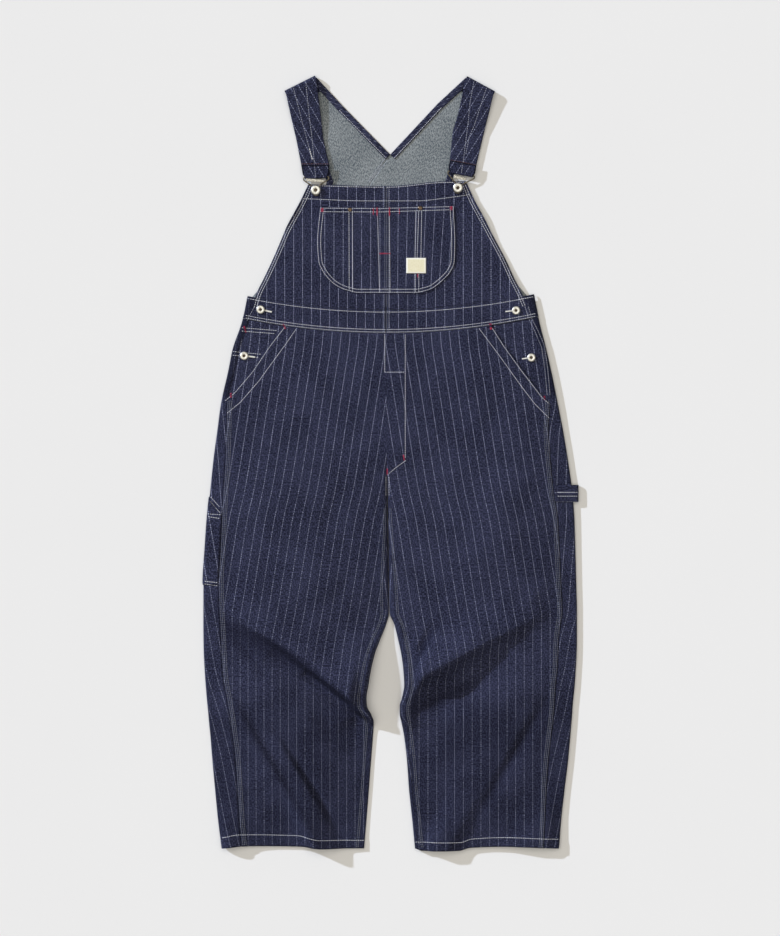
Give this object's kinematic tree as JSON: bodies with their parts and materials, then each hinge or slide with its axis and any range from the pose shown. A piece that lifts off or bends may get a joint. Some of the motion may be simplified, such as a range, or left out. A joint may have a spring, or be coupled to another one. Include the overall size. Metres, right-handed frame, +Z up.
{
  "type": "striped denim dungarees",
  "caption": "Pinstriped denim dungarees laid flat, front up: bib with pocket and metal buckles, wide straps folded over at the shoulders, slanted hip pockets, hammer loop and wide legs.",
  "frame": {"origin": "middle of the garment's outline, on the surface that it lies on", "axes": "+X to the viewer's right, +Y from the hems towards the straps, +Z up out of the surface"},
  "size_m": [0.6587, 1.3577, 0.039],
  "materials": {
    "striped_denim": "dark indigo twill with pale dotted pinstripes and pale topstitching, grey-blue on its wrong side",
    "topstitch_thread": "pale grey cotton thread, red at the bar tacks",
    "label_cloth": "cream woven tape",
    "button_metal": "worn pale nickel",
    "rivet_metal": "dull aged brass"
  },
  "bodies": {
    "root": {"armhole_binding_left": "striped_denim", "armhole_binding_right": "striped_denim", "back_left": "striped_denim", "back_leg_left": "striped_denim", "back_leg_right": "striped_denim", "back_right": "striped_denim", "bib_button_left": "button_metal", "bib_button_right": "button_metal", "bib_label": "label_cloth", "bib_left": "striped_denim", "bib_pocket": "striped_denim", "bib_right": "striped_denim", "buckle_left": "button_metal", "buckle_right": "button_metal", "front_leg_left": "striped_denim", "front_leg_right": "striped_denim", "hammer_loop": "striped_denim", "hip_button_left": "button_metal", "hip_button_right": "button_metal", "neck_binding_left": "striped_denim", "neck_binding_right": "striped_denim", "pocket_facing_left": "striped_denim", "pocket_facing_right": "striped_denim", "rivet_left": "rivet_metal", "rivet_right": "rivet_metal", "tool_pocket": "striped_denim", "waist_button_left": "button_metal", "waist_button_right": "button_metal", "waistband_left": "striped_denim", "waistband_right": "striped_denim"}
  },
  "joints": []
}
